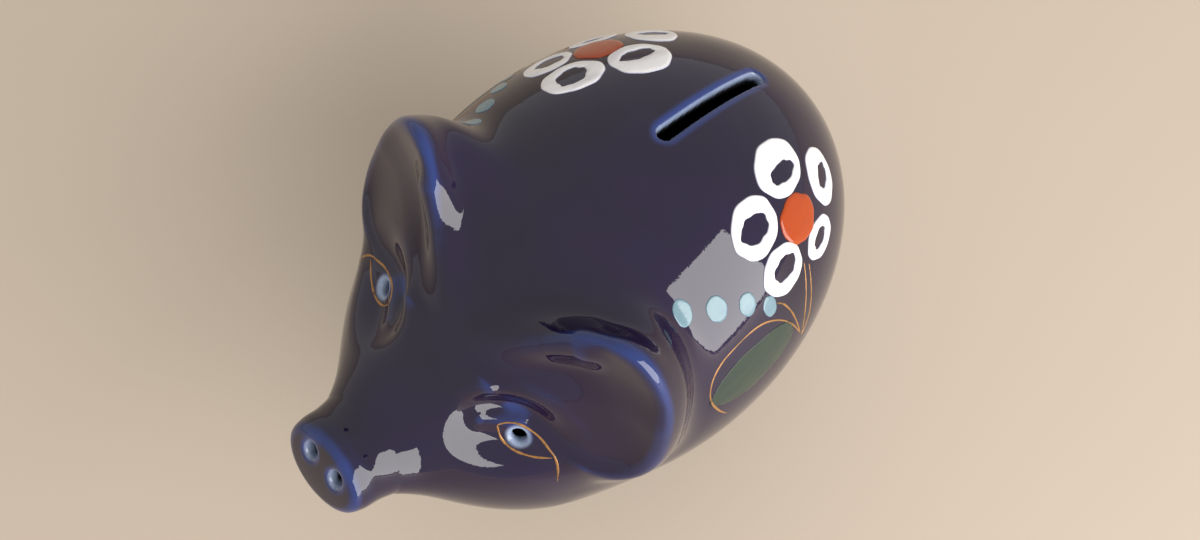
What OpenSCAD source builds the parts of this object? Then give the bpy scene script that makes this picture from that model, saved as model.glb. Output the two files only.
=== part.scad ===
/* [Body] */
// Half width of the barrel
barrel_rx = 50.4; // [44:0.2:56]
// Half length of the barrel
barrel_ry = 66.5; // [60:0.5:72]
// Half height of the barrel
barrel_rz = 49; // [44:0.5:54]
// Height of the barrel's middle above the table
barrel_z = 57.7; // [56:0.1:60]
// Wall thickness of the cast shell
wall = 5; // [4:0.5:6]

/* [Head] */
// Half width across the cheeks
cheek_rx = 37.4; // [34:0.2:40]
// Diameter of the flat snout disc
snout_d = 21.6; // [19:0.2:24]
// Upward tilt of the snout disc, in degrees
snout_tilt = 35; // [30:1:40]
// Diameter of a nostril hole
nostril_d = 2.8; // [2:0.1:4]
// Diameter of an eye hole
eye_d = 3.4; // [2.4:0.1:4]

/* [Ears] */
// Half width of an ear
ear_rx = 22; // [19:0.5:24]
// Half thickness of an ear
ear_ry = 12; // [10:0.5:13]
// Half height of an ear
ear_rz = 34; // [30:0.5:36]

/* [Coin slot] */
// Length of the slot, end to end
slot_len = 36; // [30:0.5:40]
// Width of the slot
slot_w = 3.4; // [2.6:0.1:5]

/* [Feet and tail] */
// Diameter of a foot where it stands
foot_d = 17; // [14:0.5:20]
// Thickness of the tail at its root
tail_d = 6; // [4:0.5:7]

/* [Stopper] */
// Diameter of the belly hole
hole_d = 30; // [26:1:32]
// Radial clearance of the stopper in its hole
stopper_gap = 0.08; // [0.05:0.01:0.1]
// Diameter of the stopper's flange
flange_d = 36; // [34:1:38]

/* [Enamel] */
// Height that the fired enamel stands above the glaze
enamel_h = 0.35; // [0.2:0.05:0.6]
// Size of the painted flower against the one drawn here
flower_scale = 1; // [0.8:0.01:1]

/* [Hidden] */

// Cobalt glaze, bare clay and enamel colours
cobalt = [0.05, 0.06, 0.20];
white = [0.93, 0.93, 0.92];
orange = [0.83, 0.38, 0.03];
pale_blue = [0.62, 0.85, 0.90];
leaf_green = [0.13, 0.26, 0.20];
bung_grey = [0.80, 0.80, 0.78];

// The barrel is an ellipsoid whose head end is tipped up
barrel_c = [0, 8.6, barrel_z];
barrel_r = [barrel_rx, barrel_ry, barrel_rz];
barrel_pitch = -4.5;

// The cheeks are a second ellipsoid, and a cone runs from them to the snout disc
cheek_c = [0, -26.8, 57.3];
cheek_r = [cheek_rx, 33, 32];
cheek_pitch = 19;
muzzle_root = [0, -39.8, 61];
muzzle_root_r = 21.5;
muzzle_tip_r = snout_d / 2 - 0.6;
snout_c = [0, -71.3, 81.5];
snout_dir = [0, -cos(snout_tilt), sin(snout_tilt)];
snout_half = 3;
snout_round = 2.4;

// How softly each pair of shapes runs together
muzzle_blend = 16;
disc_blend = 4;
neck_blend = 10;

// An ear is an ellipsoid with its front dished by another
ear_c = [21.5, -23.8, 85];
ear_lean = 7.5;
ear_pitch = -27;
dish_at = [-1, -27, 13];
dish_r = [17, 18, 25];
dish_blend = 5;

// The coin chamber is a body of revolution, and the head's hollow is a ball
chamber_seg = 24;
chamber_tilt = -4.5;
head_ball_c = [0, -29.8, 60];
head_ball_r = 27;
lute = 2.5;

// The slot lies along the back, on a slope
slot_front = [0, 21.8, 105.3];
slot_slope = -22.5;
slot_bore_h = 40;

// Flower on the flank: the direction that its middle faces, and where it is
flower_c = [29.5, 35.5, 91.3];
flower_az = 30;
flower_el = 47;
// Each oval is [across, up, half length, half width, turn], in the flower's own plane
petals = [
    [[7.8, 8.2, 7, 5.8, 150], [7.4, 7, 4.6, 2.2, 152]],
    [[13.6, -5.9, 6.2, 5.3, 51], [14.2, -6.5, 3.6, 1.9, 11]],
    [[0.4, -10.3, 5.8, 3.8, 162], [0.3, -10.2, 3.5, 1.6, 164]],
    [[-7.8, 10.4, 6.8, 5.4, 179], [-8.1, 10.4, 4.2, 3, 144]],
    [[-11.9, -1.2, 6, 5, 141], [-11.4, -1.4, 3.7, 2.6, 157]]
];
bloom = [0, -0.6, 5.2, 4.6, 158];
dots = [
    [-30.2, 18.1, 2.8, 2.3, 52],
    [-26.3, 11.1, 2.8, 2.3, 68],
    [-22.5, 4.4, 2.6, 2.1, 70],
    [-20.4, -2.1, 2.4, 1.7, 75]
];
leaf = [-30.5, -9, 12.5, 5.8, 151];
enamel_sink = 0.15;

// Feet: where each stands, and its height up into the belly
foot_x = 24;
foot_front_y = -15.8;
foot_rear_y = 36.2;
foot_h = 36;
foot_top_d = 25;

// Stopper
stopper_y = 8.2;
belly_seat_z = 11.2;
flange_t = 2;
stopper_len = 13;

// Eye and nostril holes
eye_at = [22.3, -38.8, 86];
eye_az = -60;
eye_el = 30;
nostril_x = 4.25;
nostril_depth = 12;

// How finely the modelled surfaces are drawn
around = 52;
rump_rings = 12;
side_rings = 22;
nose_rings = 9;
ear_around = 28;
ear_rings = 16;
search_steps = 15;
search_reach = 90;

// ---------- smooth shapes, as distances that are below zero inside ----------

function len3(v) = sqrt(v * v);
function each_over(a, b) = [a.x / b.x, a.y / b.y, a.z / b.z];
function turn_x(p, a) = [p.x, p.y * cos(a) + p.z * sin(a), p.z * cos(a) - p.y * sin(a)];
function turn_y(p, a) = [p.x * cos(a) - p.z * sin(a), p.y, p.x * sin(a) + p.z * cos(a)];
function from_scaled(k0, k1) = k0 * (k0 - 1) / (k1 + 0.000001);
function ellipsoid_d(q, r) =
    from_scaled(len3(each_over(q, r)), len3(each_over(each_over(q, r), r)));
function blend_step(a, b, k) = max(k - abs(a - b), 0) / k;
function join_d(a, b, k) = min(a, b) - pow(blend_step(a, b, k), 2) * k / 4;
function cut_d(a, b, k) = -join_d(-a, b, k);

function taper_t(p, a, b) = min(1, max(0, (p - a) * (b - a) / ((b - a) * (b - a))));
function taper_d(p, a, b, ra, rb) =
    let (t = taper_t(p, a, b))
    len3(p - a - t * (b - a)) - ra - t * (rb - ra);

function round_box_d(x, y, r) =
    min(max(x, y), 0) + sqrt(pow(max(x, 0), 2) + pow(max(y, 0), 2)) - r;
function disc_d(p, c, axis, r, half, round) =
    let (q = p - c, t = q * axis, out = len3(q - t * axis))
    round_box_d(out - r + round, abs(t) - half + round, round);

function barrel_d(p) = ellipsoid_d(turn_x(p - barrel_c, barrel_pitch), barrel_r);
function cheek_d(p) = ellipsoid_d(turn_x(p - cheek_c, cheek_pitch), cheek_r);
function muzzle_d(p) =
    taper_d(p, muzzle_root, snout_c - 6 * snout_dir, muzzle_root_r, muzzle_tip_r);
function snout_d_at(p) =
    disc_d(p, snout_c - 2 * snout_dir, snout_dir, snout_d / 2, snout_half, snout_round);
function head_d(p) =
    join_d(join_d(cheek_d(p), muzzle_d(p), muzzle_blend), snout_d_at(p), disc_blend);
function pig_d(p) = join_d(barrel_d(p), head_d(p), neck_blend);

function in_ear(p) = turn_x(turn_y(p - ear_c, ear_lean), ear_pitch);
function ear_d(p) =
    let (q = in_ear(p))
    cut_d(ellipsoid_d(q, [ear_rx, ear_ry, ear_rz]), ellipsoid_d(q - dish_at, dish_r), dish_blend);

// Where a straight line from a point inside meets the surface
function pig_hit(c, d, lo, hi, n) =
    n == 0 ? c + d * (lo + hi) / 2 :
    pig_d(c + d * (lo + hi) / 2) < 0 ? pig_hit(c, d, (lo + hi) / 2, hi, n - 1) :
    pig_hit(c, d, lo, (lo + hi) / 2, n - 1);
function ear_hit(c, d, lo, hi, n) =
    n == 0 ? c + d * (lo + hi) / 2 :
    ear_d(c + d * (lo + hi) / 2) < 0 ? ear_hit(c, d, (lo + hi) / 2, hi, n - 1) :
    ear_hit(c, d, lo, (lo + hi) / 2, n - 1);

// ---------- closed skins ----------

// One end point, rings of n points, one end point
function ring_faces(n, rings) = concat(
    [for (j = [0:n - 1]) [0, 1 + (j + 1) % n, 1 + j]],
    [for (i = [0:rings - 2], j = [0:n - 1])
        let (a = 1 + i * n, b = a + n, k = (j + 1) % n)
        each [[a + j, a + k, b + k], [a + j, b + k, b + j]]],
    [for (j = [0:n - 1])
        let (a = 1 + (rings - 1) * n)
        [a + j, a + (j + 1) % n, 1 + rings * n]]
);

// The spine runs forward from the rump, then bends up to the snout
spine_bend = 74;
spine_z = 58;
rump_c = [0, 20.2, spine_z];
knee_y = snout_c.y + (snout_c.z - spine_z) / tan(snout_tilt);
bend_from_y = knee_y + spine_bend * tan(snout_tilt / 2);
bend_c = [0, bend_from_y, spine_z + spine_bend];
flat_run = rump_c.y - bend_from_y;
bend_run = spine_bend * snout_tilt * PI / 180;
nose_c = snout_c - 3 * snout_dir;
bend_end = bend_c + spine_bend * [0, -sin(snout_tilt), -cos(snout_tilt)];
nose_run = len3(nose_c - bend_end);
spine_run = flat_run + bend_run + nose_run;

function spine_angle(s) = min(1, max(0, (s - flat_run) / bend_run)) * snout_tilt;
function spine_at(s) =
    s < flat_run ? rump_c - [0, s, 0] :
    s < flat_run + bend_run ?
        bend_c + spine_bend * [0, -sin(spine_angle(s)), -cos(spine_angle(s))] :
    bend_end + (s - flat_run - bend_run) * snout_dir;

// A ray leaves the spine at an angle around it, leaning forward by lean degrees
function ray(s, around_deg, lean) =
    let (a = spine_angle(s), ahead = [0, -cos(a), sin(a)], up = [0, sin(a), cos(a)])
    cos(lean) * (cos(around_deg) * [1, 0, 0] + sin(around_deg) * up) + sin(lean) * ahead;
function skin_point(s, around_deg, lean) =
    pig_hit(spine_at(s), ray(s, around_deg, lean), 0, search_reach, search_steps);

rings = concat(
    [for (i = [1:rump_rings]) [0, -90 + 90 * i / rump_rings]],
    [for (i = [1:side_rings]) [spine_run * i / side_rings, 0]],
    [for (i = [1:nose_rings - 1]) [spine_run, 90 * i / nose_rings]]
);

module pig_skin() {
    points = concat(
        [skin_point(0, 0, -90)],
        [for (r = rings, j = [0:around - 1]) skin_point(r[0], 360 * j / around, r[1])],
        [skin_point(spine_run, 0, 90)]
    );
    polyhedron(points, ring_faces(around, len(rings)), convexity = 6);
}

module ear_skin() {
    points = concat(
        [ear_hit(ear_c, [0, 0, 1], 0, search_reach, search_steps)],
        [for (i = [1:ear_rings], j = [0:ear_around - 1])
            let (e = 90 - 180 * i / (ear_rings + 1), a = -360 * j / ear_around)
            ear_hit(ear_c, [cos(e) * cos(a), cos(e) * sin(a), sin(e)], 0, search_reach, search_steps)],
        [ear_hit(ear_c, [0, 0, -1], 0, search_reach, search_steps)]
    );
    polyhedron(points, ring_faces(ear_around, ear_rings), convexity = 4);
}

// ---------- hollow ----------

// The chamber, drawn larger by grow, for what must stop short of it
module chamber(grow = 0) {
    r = barrel_rz - wall + grow;
    l = barrel_ry - wall + grow;
    translate(barrel_c)
        rotate([90 + chamber_tilt, 0, 0])
            rotate_extrude($fn = 64)
                polygon([for (i = [0:chamber_seg]) let (a = -90 + 180 * i / chamber_seg)
                    [r * cos(a), l * sin(a)]]);
    translate(head_ball_c)
        sphere(r = head_ball_r + grow, $fn = 64);
}

module coin_slot() {
    translate(slot_front)
        rotate([slot_slope, 0, 0])
            translate([0, slot_len / 2, -slot_bore_h / 2])
                linear_extrude(slot_bore_h)
                    slot_outline();
}

module slot_outline() {
    half = (slot_len - slot_w) / 2;
    translate([0, half])
        circle(d = slot_w, $fn = 32);
    translate([0, -half])
        circle(d = slot_w, $fn = 32);
    square([slot_w, 2 * half], center = true);
}

module eye_holes() {
    for (side = [0, 1])
        mirror([side, 0, 0])
            translate(eye_at)
                rotate([0, 90 - eye_el, eye_az])
                    cylinder(d = eye_d, h = 40, center = true, $fn = 32);
}

module nostrils() {
    for (side = [-1, 1])
        translate(snout_c + [side * nostril_x, 0, 0])
            rotate([90 - snout_tilt, 0, 0])
                cylinder(d = nostril_d, h = 2 * nostril_depth, center = true, $fn = 32);
}

module belly_hole() {
    translate([0, stopper_y, 0])
        cylinder(d = hole_d, h = 30, $fn = 96);
    translate([0, stopper_y, 0])
        cylinder(d = flange_d + 1.5, h = belly_seat_z, $fn = 96);
}

// ---------- pieces ----------

module body_shell() {
    color(cobalt)
        difference() {
            pig_skin();
            chamber();
            coin_slot();
            eye_holes();
            nostrils();
            belly_hole();
        }
}

// An ear's root is luted into the outer half of the wall
module ear_left() {
    color(cobalt)
        difference() {
            ear_skin();
            chamber(lute);
        }
}

module ear_right() {
    mirror([1, 0, 0])
        ear_left();
}

// A foot is a turned stub with a rounded, flat-bottomed sole
module foot(x, y) {
    r = foot_d / 2;
    edge = 2;
    color(cobalt)
        difference() {
            translate([x, y, 0])
                rotate_extrude($fn = 48)
                    polygon(concat(
                        [[0, 0]],
                        [for (a = [-90:18:0]) [r - edge + edge * cos(a), edge + edge * sin(a)]],
                        [[foot_top_d / 2, foot_h], [0, foot_h]]
                    ));
            chamber(lute);
        }
}

module foot_front_left() {
    foot(foot_x, foot_front_y);
}

module foot_front_right() {
    foot(-foot_x, foot_front_y);
}

module foot_rear_left() {
    foot(foot_x, foot_rear_y);
}

module foot_rear_right() {
    foot(-foot_x, foot_rear_y);
}

// A small curl that lies against the rump, below its widest line, and tapers to its tip
tail_c = [0, 72.4, 44];
tail_lean = 18;
tail_curl = 6.5;
tail_turn = 400;
tail_rings = 22;
tail_around = 10;

function tail_r(t) = tail_d / 2 * (1 - 0.55 * t) * sqrt(max(0, 1 - pow(t, 12)));
function tail_mid(t) =
    let (a = tail_turn * t - 90, r = tail_curl * (1 - 0.45 * t))
    [r * cos(a), 3.4 * t, r * sin(a)];
function tail_ahead(t) = let (v = tail_mid(t + 0.01) - tail_mid(t - 0.01)) v / len3(v);
function tail_point(t, a) =
    let (w = tail_ahead(t), side = cross(w, [0, 1, 0]), s = side / len3(side))
    tail_mid(t) + tail_r(t) * (cos(a) * s + sin(a) * cross(w, s));

module tail() {
    points = concat(
        [tail_mid(-0.03)],
        [for (i = [0:tail_rings - 1], j = [0:tail_around - 1])
            tail_point(i / tail_rings, 360 * j / tail_around)],
        [tail_mid(1)]
    );
    color(cobalt)
        translate(tail_c)
            rotate([-tail_lean, 0, 0])
                polyhedron(points, ring_faces(tail_around, tail_rings), convexity = 6);
}

// A soft bung: a thin flange outside, and a grooved plug in the hole
module stopper() {
    r = hole_d / 2 - stopper_gap;
    z = belly_seat_z;
    color(bung_grey)
        translate([0, stopper_y, 0])
            rotate_extrude($fn = 96)
                polygon([
                    [0, z - flange_t - 0.1],
                    [flange_d / 2 - 0.6, z - flange_t - 0.1],
                    [flange_d / 2, z - flange_t + 0.5],
                    [flange_d / 2, z - 0.1],
                    [r, z - 0.1],
                    [r, z + stopper_len - 3],
                    [r - 1.5, z + stopper_len],
                    [r - 4, z + stopper_len],
                    [r - 4, z + 2],
                    [0, z + 2]
                ]);
}

// ---------- enamel, laid on the flank ----------

flower_n = [
    cos(flower_az) * cos(flower_el),
    sin(flower_az) * cos(flower_el),
    sin(flower_el)
];
flower_u = [-sin(flower_az), cos(flower_az), 0];
flower_v = cross(flower_n, flower_u);

// A point of the flower's own plane, carried straight in to the glaze, then raised by h
function on_flank(u, v, h) =
    let (c = flower_c + u * flower_u + v * flower_v - 40 * flower_n)
    pig_hit(c, flower_n, 0, search_reach, search_steps) + h * flower_n;

// A point of an oval, k times as far from its middle as its edge is, raised by h
function on_oval(o, k, a, h) =
    let (x = k * o[2] * flower_scale * cos(a), y = k * o[3] * flower_scale * sin(a), t = o[4])
    on_flank(o[0] + x * cos(t) - y * sin(t), o[1] + x * sin(t) + y * cos(t), h);
function level(h) = h < 0 ? -enamel_sink : h * enamel_h;

// An oval blot, domed from its rim to its middle
module blot(o, n = 16) {
    shells = [[-1, 0.55], [-1, 1], [0.3, 1], [1, 0.8], [1, 0.4]];
    points = concat(
        [on_oval(o, 0, 0, -enamel_sink)],
        [for (s = shells, j = [0:n - 1]) on_oval(o, s[1], 360 * j / n, level(s[0]))],
        [on_oval(o, 0, 0, enamel_h)]
    );
    polyhedron(points, ring_faces(n, len(shells)), convexity = 2);
}

// A painted ring between an outer oval and its opening
module petal(outer, opening, n = 22) {
    section = [[0, -1], [1, -1], [1, 0.3], [0.7, 1], [0.3, 1], [0, 0.3]];
    m = len(section);
    points = [for (j = [0:n - 1], s = section)
        let (a = 360 * j / n, h = level(s[1]), b = a + outer[4] - opening[4])
        on_oval(outer, 1, a, h) * s[0] + on_oval(opening, 1, b, h) * (1 - s[0])];
    faces = [for (j = [0:n - 1], i = [0:m - 1])
        let (a = j * m, b = ((j + 1) % n) * m, k = (i + 1) % m)
        each [[a + i, b + k, b + i], [a + i, a + k, b + k]]];
    polyhedron(points, faces, convexity = 4);
}

module flower_petals_left() {
    color(white)
        for (p = petals)
            petal(p[0], p[1]);
}

module flower_petals_right() {
    mirror([1, 0, 0])
        flower_petals_left();
}

module flower_centre_left() {
    color(orange)
        blot(bloom, 20);
}

module flower_centre_right() {
    mirror([1, 0, 0])
        flower_centre_left();
}

module dots_left() {
    color(pale_blue)
        for (d = dots)
            blot(d, 12);
}

module dots_right() {
    mirror([1, 0, 0])
        dots_left();
}

module leaf_left() {
    color(leaf_green)
        blot(leaf, 22);
}

module leaf_right() {
    mirror([1, 0, 0])
        leaf_left();
}

body_shell();
ear_left();
ear_right();
foot_front_left();
foot_front_right();
foot_rear_left();
foot_rear_right();
tail();
stopper();
flower_petals_left();
flower_petals_right();
flower_centre_left();
flower_centre_right();
dots_left();
dots_right();
leaf_left();
leaf_right();
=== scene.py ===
import bpy
import numpy as np
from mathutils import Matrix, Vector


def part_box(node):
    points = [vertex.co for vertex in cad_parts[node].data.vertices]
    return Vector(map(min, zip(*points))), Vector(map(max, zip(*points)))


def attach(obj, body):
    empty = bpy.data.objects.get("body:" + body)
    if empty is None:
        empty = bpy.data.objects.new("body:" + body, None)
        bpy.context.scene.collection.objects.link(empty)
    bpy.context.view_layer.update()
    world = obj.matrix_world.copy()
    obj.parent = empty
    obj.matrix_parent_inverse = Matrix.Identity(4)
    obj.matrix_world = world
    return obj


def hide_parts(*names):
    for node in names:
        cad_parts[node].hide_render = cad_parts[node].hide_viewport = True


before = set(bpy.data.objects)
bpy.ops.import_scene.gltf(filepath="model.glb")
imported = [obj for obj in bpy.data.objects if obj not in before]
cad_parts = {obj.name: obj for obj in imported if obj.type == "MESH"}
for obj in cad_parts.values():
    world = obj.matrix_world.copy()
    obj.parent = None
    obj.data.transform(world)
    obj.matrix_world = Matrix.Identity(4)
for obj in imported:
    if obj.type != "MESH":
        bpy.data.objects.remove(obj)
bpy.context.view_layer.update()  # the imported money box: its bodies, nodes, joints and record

import openvdb
from bpy.props import FloatProperty, FloatVectorProperty, IntProperty, PointerProperty
from mathutils import Vector

bl_info = {
    "name": "Painted Pig Money Box",
    "version": (1, 0, 0),
    "blender": (4, 5, 0),
    "location": "3D View > Sidebar > Money Box",
    "description": "A glazed pig money box with painted flowers, built round its packed frame",
    "category": "Add Mesh",
}

MM = 0.001
PIG = "pig"
STOPPER = "stopper"

# ---------------------------------------------------------------- sizes and colours


class PigShape(bpy.types.PropertyGroup):
    """Sizes of the clay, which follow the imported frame."""

    wall: FloatProperty(
        name="Wall", description="Thickness of the cast wall",
        default=5 * MM, min=3 * MM, unit="LENGTH")
    slot_length: FloatProperty(
        name="Slot length", description="Length of the coin slot", default=36 * MM, unit="LENGTH")
    slot_width: FloatProperty(
        name="Slot width", description="Width of the coin slot", default=3.3 * MM, unit="LENGTH")
    eye_hole: FloatProperty(
        name="Eye hole", description="Diameter of a pierced eye", default=3.2 * MM, unit="LENGTH")
    mesh_step: FloatProperty(
        name="Mesh step", description="Distance between points of the clay's surface",
        default=0.75 * MM, min=0.4 * MM, unit="LENGTH")
    oval_points: IntProperty(
        name="Points round an oval", description="Points round each painted oval", default=72, min=12)


class PigPaint(bpy.types.PropertyGroup):
    """Colours of the glaze, the enamels and the stopper."""

    cobalt: FloatVectorProperty(
        name="Cobalt", description="Glaze where it lies thick", size=3, subtype="COLOR",
        default=(0.0080, 0.0026, 0.027))
    # paler blue on ridges: partly glaze running thin, partly a painted highlight along the ridge
    thin_cobalt_and_sheen: FloatVectorProperty(
        name="Thin cobalt", description="Glaze where it runs thin over an edge", size=3, subtype="COLOR",
        default=(0.012, 0.028, 0.135))
    edge_white: FloatVectorProperty(
        name="Bare edge", description="Clay showing through at a sharp edge", size=3, subtype="COLOR",
        default=(0.26, 0.32, 0.46))
    white: FloatVectorProperty(
        name="White enamel", description="Thick white of the petals", size=3, subtype="COLOR",
        default=(0.78, 0.77, 0.78))
    orange: FloatVectorProperty(
        name="Orange enamel", description="Middle of each flower", size=3, subtype="COLOR",
        default=(0.34, 0.042, 0.0006))
    pale_blue: FloatVectorProperty(
        name="Pale blue enamel", description="Dots beside each flower", size=3, subtype="COLOR",
        default=(0.14, 0.235, 0.275))
    leaf: FloatVectorProperty(
        name="Leaf green", description="Brushed fill of the leaf", size=3, subtype="COLOR",
        default=(0.015, 0.034, 0.022))
    gold: FloatVectorProperty(
        name="Gold line", description="Drawn lines of stems, leaf and eyes", size=3, subtype="COLOR",
        default=(0.34, 0.165, 0.048))
    bung: FloatVectorProperty(
        name="Stopper", description="Soft stopper under the belly", size=3, subtype="COLOR",
        default=(0.50, 0.48, 0.43))


class PigStage(bpy.types.PropertyGroup):
    """Camera, floor and lights."""

    lens: FloatProperty(
        name="Lens", description="Focal length in mm on a 36 mm sensor", default=27.0, min=10)
    floor: FloatVectorProperty(
        name="Floor", description="Plain pale floor", size=3, subtype="COLOR",
        default=(0.52, 0.437, 0.352))
    sky: FloatProperty(
        name="Room light", description="Strength of the even room light", default=0.70, min=0)
    window: FloatProperty(
        name="Window light", description="Brightness of the large soft light", default=5.6, min=0)


# ---------------------------------------------------------------- the pig as one smooth shape (millimetres)

BARREL_C, BARREL_R, BARREL_PITCH = (0, 8.6, 57.7), (50.4, 66.5, 49), -4.5
CHEEK_C, CHEEK_R, CHEEK_PITCH = (0, -26.8, 57.3), (37.4, 33, 32), 19
MUZZLE_ROOT, MUZZLE_ROOT_R, MUZZLE_TIP_R = (0, -39.8, 61), 23.5, 12
SNOUT_TILT = np.radians(35)
SNOUT_DIR = np.array([0, -np.cos(SNOUT_TILT), np.sin(SNOUT_TILT)])
SNOUT_UP = np.array([0, np.sin(SNOUT_TILT), np.cos(SNOUT_TILT)])
SNOUT_C = np.array([0, -73.3, 83.2])
SNOUT_R, SNOUT_SQUASH = 10.2, 0.82
EAR_C, EAR_R, EAR_TURN = (28.3, -29.4, 75.4), (19.8, 14.9, 40.7), (39.6, -13.8, 12.2)
EAR_ROOT = 0  # how far below its own middle an ear ends
EAR_BACK_C, EAR_BACK_R, EAR_BACK_TURN = (23.5, -20.5, 82), (19.5, 12, 27), (0, -27, 7.5)
SCOOP_C, SCOOP_R, SCOOP_TURN = (30.2, -26.8, 105.7), (32.9, 7, 26.7), (15.7, -15.3, 0)
SCOOP_END = -11  # how far below its own middle the scoop runs out
# Stations of a raised cord are (x, y, z, radius)
RIM_LINE = [
    (5.5, -29.5, 95.5, 1.6), (10, -26.2, 98.8, 1.8), (15, -22.8, 102.4, 1.8), (20.8, -19.8, 106.6, 1.8),
]
BROW_LINE = [(13.5, -41.5, 84.0, 1.0), (19.3, -36.4, 82.5, 1.5), (26, -34.5, 79.0, 1.0)]
SOCKET_C, SOCKET_R = (25.6, -43.4, 87.9), (14, 11, 8)
FOOT_X, FOOT_Y = 24, (-15.8, 36.2)
FOOT_SOLE_R, FOOT_HIP_R, FOOT_HIP_Z = 8.6, 12.5, 34
HEAD_BALL_C, HEAD_BALL_R = (0, -27, 57), 24
SLOT_FRONT, SLOT_SLOPE, SLOT_REACH = (0, 21.8, 105.3), -22.5, 20
EYE_AT, EYE_OUT, EYE_DEEP = (21.8, -38.4, 81.4), (0.42, -0.55, 0.72), 20
NOSTRIL_AT, NOSTRIL_R, NOSTRIL_DEEP = (4.0, 2.3), (1.6, 2.3), 12
BELLY_HOLE = (8.2, 15, 18.75, 11.2)  # where along the pig, radius, seat radius, height of the seat
BELLY_HOLE_TOP = 34
MIDLINE_SOFTNESS = 2.5
SLOT_EDGE, EYE_EDGE, NOSTRIL_EDGE = 0.55, 1.7, 0.8  # how far the bare edge of each hole runs
INSIDE_DEPTH = 2.2  # below this depth a surface belongs to the hollow


def length(v):
    return np.sqrt((v * v).sum(-1))


def unit(v):
    v = np.asarray(v, float)
    return v / np.linalg.norm(v)


def turned(p, pitch=0.0, lean=0.0, yaw=0.0):
    """Points p in a frame yawed about Z, leaned about Y, then pitched about X, in degrees."""
    a, b, c = np.radians(pitch), np.radians(lean), np.radians(yaw)
    ahead = p[..., 0] * np.cos(c) + p[..., 1] * np.sin(c)
    y = p[..., 1] * np.cos(c) - p[..., 0] * np.sin(c)
    x = ahead * np.cos(b) - p[..., 2] * np.sin(b)
    z = ahead * np.sin(b) + p[..., 2] * np.cos(b)
    return np.stack([x, y * np.cos(a) + z * np.sin(a), z * np.cos(a) - y * np.sin(a)], -1)


def ellipsoid(q, r):
    """Distance to an ellipsoid with radii r about the origin, near enough for its surface."""
    r = np.asarray(r, q.dtype)
    k0 = length(q / r)
    return k0 * (k0 - 1) / (length(q / (r * r)) + 1e-6)


def join(a, b, k):
    """Union whose crease is rounded over about k."""
    h = np.maximum(k - np.abs(a - b), 0) / k
    return np.minimum(a, b) - h * h * k / 4


def cut(a, b, k):
    """a with b taken out, its edge rounded over about k."""
    return -join(-a, b, k)


def taper(p, a, b, ra, rb):
    """Distance to a round bar from a to b whose radius runs from ra to rb."""
    a, b = np.asarray(a, p.dtype), np.asarray(b, p.dtype)
    run = b - a
    t = np.clip((p - a) @ run / (run @ run), 0, 1)
    return length(p - a - t[..., None] * run) - ra - t * (rb - ra)


def disc(p, c, axis, r, half, rim):
    """Distance to a disc of radius r about c, 2 * half thick, with a rounded rim."""
    q = p - c
    t = q @ axis
    out = length(q - t[..., None] * axis)
    dx, dy = out - r + rim, np.abs(t) - half + rim
    return np.minimum(np.maximum(dx, dy), 0) + np.hypot(np.maximum(dx, 0), np.maximum(dy, 0)) - rim


def folded(p):
    """Both sides of the pig laid over each other, with a soft fold on the middle plane."""
    q = p.copy()
    q[..., 0] = np.sqrt(q[..., 0] ** 2 + MIDLINE_SOFTNESS ** 2) - 0.35 * MIDLINE_SOFTNESS
    return q


def mirrored(p):
    q = p.copy()
    q[..., 0] = np.abs(q[..., 0])
    return q


def barrel(p):
    return ellipsoid(turned(p - np.array(BARREL_C), BARREL_PITCH), BARREL_R)


def chain(q, stations):
    """A rounded cord through stations, each (x, y, z, radius)."""
    d = None
    for a, b in zip(stations, stations[1:]):
        one = taper(q, a[:3], b[:3], a[3], b[3])
        d = one if d is None else np.minimum(d, one)
    return d


def snout(p):
    """Muzzle that flares out to a flat oval face."""
    q = p - SNOUT_C
    t = q @ SNOUT_UP
    flat = p + (t * (1 / SNOUT_SQUASH - 1))[..., None] * SNOUT_UP
    muzzle = taper(flat, MUZZLE_ROOT, SNOUT_C - 11 * SNOUT_DIR, MUZZLE_ROOT_R, MUZZLE_TIP_R) * SNOUT_SQUASH
    face = disc(flat, SNOUT_C - 2 * SNOUT_DIR, SNOUT_DIR, SNOUT_R, 2.5, 1.6) * SNOUT_SQUASH
    return cut(join(muzzle, face, 5), -(q @ SNOUT_DIR), 2.0)


def placed(q, centre, turn):
    """Points in the frame of a lump at centre, turned by (yaw, pitch, lean) in degrees."""
    yaw, pitch, lean = turn
    return turned(q - np.array(centre), pitch, lean, yaw)


def ears(q):
    """Ears that are hollowed from the front and bulge behind."""
    e, face = placed(q, EAR_C, EAR_TURN), placed(q, SCOOP_C, SCOOP_TURN)
    ahead = join(ellipsoid(face, SCOOP_R), face[..., 1], 2)
    flap = cut(ellipsoid(e, EAR_R), e[..., 2] - EAR_ROOT, 14)
    bulge = ellipsoid(placed(q, EAR_BACK_C, EAR_BACK_TURN), EAR_BACK_R)
    return cut(join(flap, bulge, 5), ahead, 2.5)


def head(p):
    """Cheeks, muzzle and ears on the barrel, with the ears scooped and the eyes set in."""
    q = folded(p)
    cheek = ellipsoid(turned(p - np.array(CHEEK_C), CHEEK_PITCH), CHEEK_R)
    d = join(join(join(cheek, snout(p), 16), ears(q), 6), barrel(p), 8)
    e = placed(q, SCOOP_C, SCOOP_TURN)
    d = cut(d, cut(ellipsoid(e, SCOOP_R), e[..., 2] - SCOOP_END, 14), 3)
    d = join(d, chain(q, RIM_LINE), 6)
    d = cut(d, ellipsoid(q - np.array(SOCKET_C), SOCKET_R), 5)
    return join(d, chain(q, BROW_LINE), 5)


def feet(p):
    """Four tapering feet, flat at the ground."""
    q = mirrored(p)
    both = None
    for y in FOOT_Y:
        one = taper(q, (FOOT_X, y, 6), (FOOT_X - 1, y, FOOT_HIP_Z), FOOT_SOLE_R, FOOT_HIP_R)
        both = one if both is None else np.minimum(both, one)
    return cut(both, q[..., 2], 2.5)


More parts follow.
